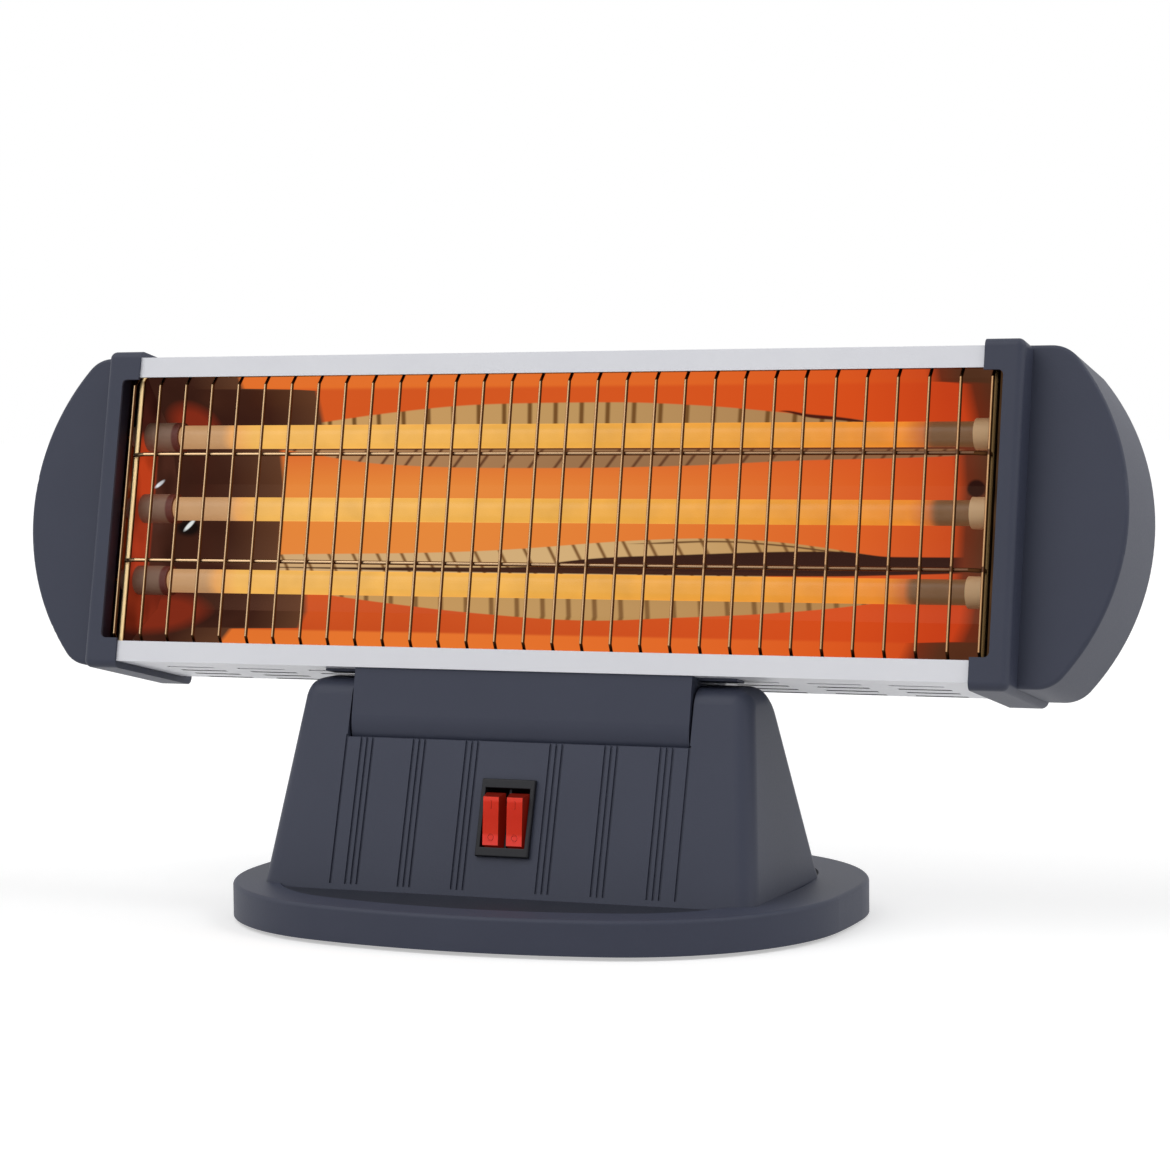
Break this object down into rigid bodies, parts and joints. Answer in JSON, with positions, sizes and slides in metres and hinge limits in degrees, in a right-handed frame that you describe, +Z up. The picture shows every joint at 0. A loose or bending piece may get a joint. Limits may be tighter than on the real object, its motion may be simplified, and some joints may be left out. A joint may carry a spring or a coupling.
{
  "type": "quartz heater",
  "caption": "Free-standing quartz heater: a tilting silver housing with glowing tubes behind a wire guard, on a fluted pedestal and oval base with a twin rocker switch.",
  "frame": {"origin": "on the floor under the middle of the oval base", "axes": "+X to the right seen from the front, along the tubes; +Y to the back; +Z up"},
  "size_m": [0.4602, 0.196, 0.2219],
  "materials": {
    "slate_plastic": "fine satin moulding",
    "silver_paint": "smooth silver-white enamel",
    "reflector": "polished",
    "guard_wire": "bright gold-coloured plating",
    "quartz": "clear",
    "heating_wire": "oxidised resistance wire",
    "ceramic": "unglazed",
    "bracket_steel": "plain",
    "terminal_brass": "plain",
    "fastener_steel": "zinc plated",
    "bottom_paint": "matt black",
    "rubber": "matt",
    "switch_black": "semi-gloss",
    "rocker_red": "translucent red",
    "inner_plastic": "plain"
  },
  "bodies": {
    "base": {"base_plate": "slate_plastic", "bottom_plate": "bottom_paint", "rubber_feet": "rubber", "bottom_screws": "fastener_steel", "pedestal_screws": "fastener_steel", "pedestal": "slate_plastic", "cord_gland": "rubber", "switch_housing": "switch_black", "switch_blades": "terminal_brass", "tip_switch_case": "inner_plastic", "tip_spring": "fastener_steel", "pivot_bolts": "fastener_steel", "pivot_nuts": "fastener_steel", "friction_washers": "inner_plastic"},
    "head": {"neck": "slate_plastic", "neck_screws": "fastener_steel", "housing": "silver_paint", "reflector": "reflector", "tube_bracket_left": "bracket_steel", "tube_bracket_right": "bracket_steel", "end_cap_left": "slate_plastic", "end_cap_right": "slate_plastic", "common_strip": "terminal_brass", "lead_tags": "terminal_brass", "cap_screws": "fastener_steel", "grille": "guard_wire", "grille_frame": "guard_wire", "quartz_tube_upper": "quartz", "heating_coil_upper": "heating_wire", "ceramic_upper_left": "ceramic", "ceramic_upper_right": "ceramic", "quartz_tube_middle": "quartz", "heating_coil_middle": "heating_wire", "ceramic_middle_left": "ceramic", "ceramic_middle_right": "ceramic", "quartz_tube_lower": "quartz", "heating_coil_lower": "heating_wire", "ceramic_lower_left": "ceramic", "ceramic_lower_right": "ceramic"},
    "left_rocker": {"rocker_left": "rocker_red"},
    "right_rocker": {"rocker_right": "rocker_red"},
    "tip_plunger": {"tip_pin": "inner_plastic"}
  },
  "joints": [
    {"name": "head_tilt", "type": "hinge", "parent": "base", "child": "head", "pos_m": [0, -0.012, 0.0755], "axis": [-1, 0, 0], "range_deg": [-11.8, 15]},
    {"name": "left_rocker_tilt", "type": "hinge", "parent": "base", "child": "left_rocker", "pos_m": [-0.0049, -0.03755, 0.04143], "axis": [1, 0, 0], "range_deg": [-24, 0]},
    {"name": "right_rocker_tilt", "type": "hinge", "parent": "base", "child": "right_rocker", "pos_m": [0.0049, -0.03755, 0.04143], "axis": [1, 0, 0], "range_deg": [-24, 0]},
    {"name": "tip_plunger_slide", "type": "slide", "parent": "base", "child": "tip_plunger", "axis": [0, 0, 1], "range_m": [-0.005, 0], "stiffness_N_per_m": 60, "springref_m": -0.012, "deforming": ["tip_spring"]}
  ]
}
